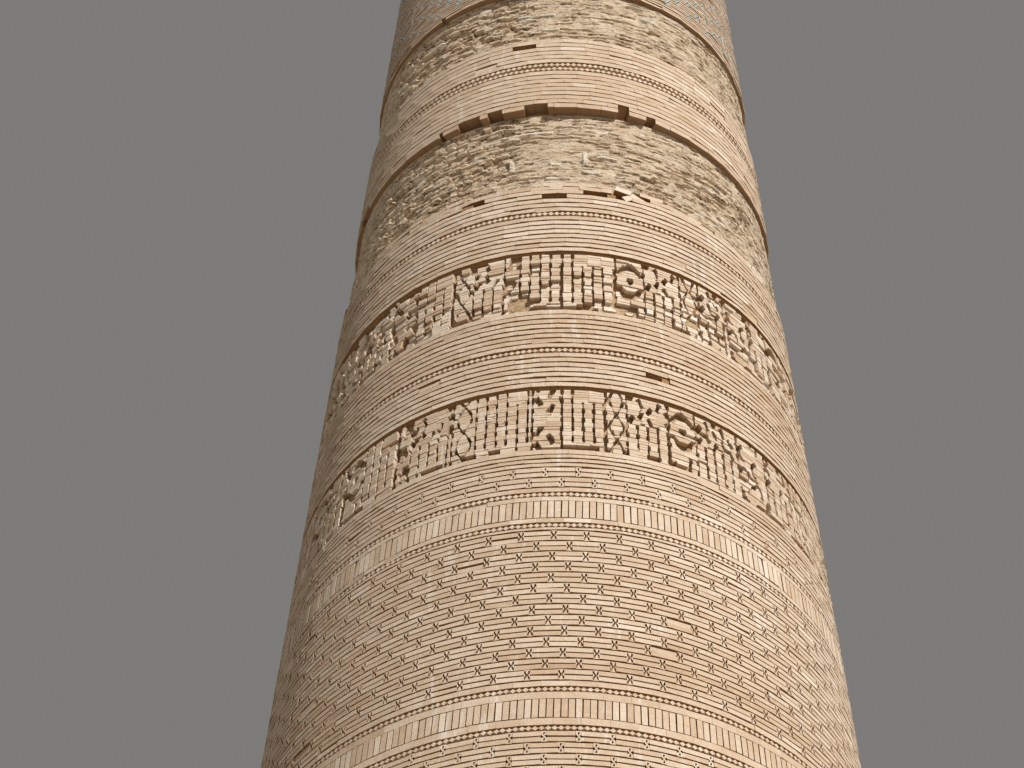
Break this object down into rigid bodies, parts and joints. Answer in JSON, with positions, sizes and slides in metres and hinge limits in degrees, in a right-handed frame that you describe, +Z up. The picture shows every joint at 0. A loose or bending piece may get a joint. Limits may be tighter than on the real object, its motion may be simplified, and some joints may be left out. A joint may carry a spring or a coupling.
{
  "type": "round brick minaret, 1:2 scale model",
  "caption": "1:2 scale model of a tall tapering round brick minaret with soldier bands, patterned brick drums, carved friezes, fallen facing and an arched lantern.",
  "frame": {"origin": "centre of the plinth's underside, on the ground", "axes": "+Z up along the tower's axis, -Y out through the doorway"},
  "size_m": [6, 6, 29.8],
  "materials": {
    "brick": "weathered fired brick with recessed joints",
    "band_brick": "weathered fired brick, upright and toothed",
    "carved_brick": "cut brick relief, weathered",
    "rubble": "rough rubble and mortar",
    "stone": "rough dressed stone",
    "timber": "weathered timber"
  },
  "bodies": {
    "root": {"corbel_cornice": "brick", "diaper_drum": "brick", "door_arch": "brick", "frieze_high": "carved_brick", "frieze_low": "carved_brick", "gallery_deck": "timber", "lantern_arches": "brick", "lantern_dome": "band_brick", "lantern_pier_1": "brick", "lantern_pier_2": "brick", "lantern_pier_3": "brick", "lantern_pier_4": "brick", "plain_drum_high": "brick", "plain_drum_low": "brick", "plinth": "stone", "plug_courses": "brick", "rubble_core_high": "rubble", "rubble_core_low": "rubble", "shaft_band_1": "band_brick", "shaft_band_2": "band_brick", "shaft_band_3": "band_brick", "shaft_band_4": "band_brick", "shaft_drum_1": "brick", "shaft_drum_2": "brick", "shaft_drum_3": "brick", "shaft_drum_4": "brick", "shaft_drum_5": "brick", "shaft_neck": "brick", "soldier_band_high": "band_brick", "soldier_band_low": "band_brick", "soldier_band_top": "band_brick", "tile_inlay_drum": "band_brick", "toothed_drum": "brick", "upper_shaft_drum": "brick", "upper_wall_left": "brick", "upper_wall_right": "brick", "wall_back_left": "brick", "wall_back_right": "brick", "wall_front_left": "brick", "wall_front_right": "brick"}
  },
  "joints": []
}
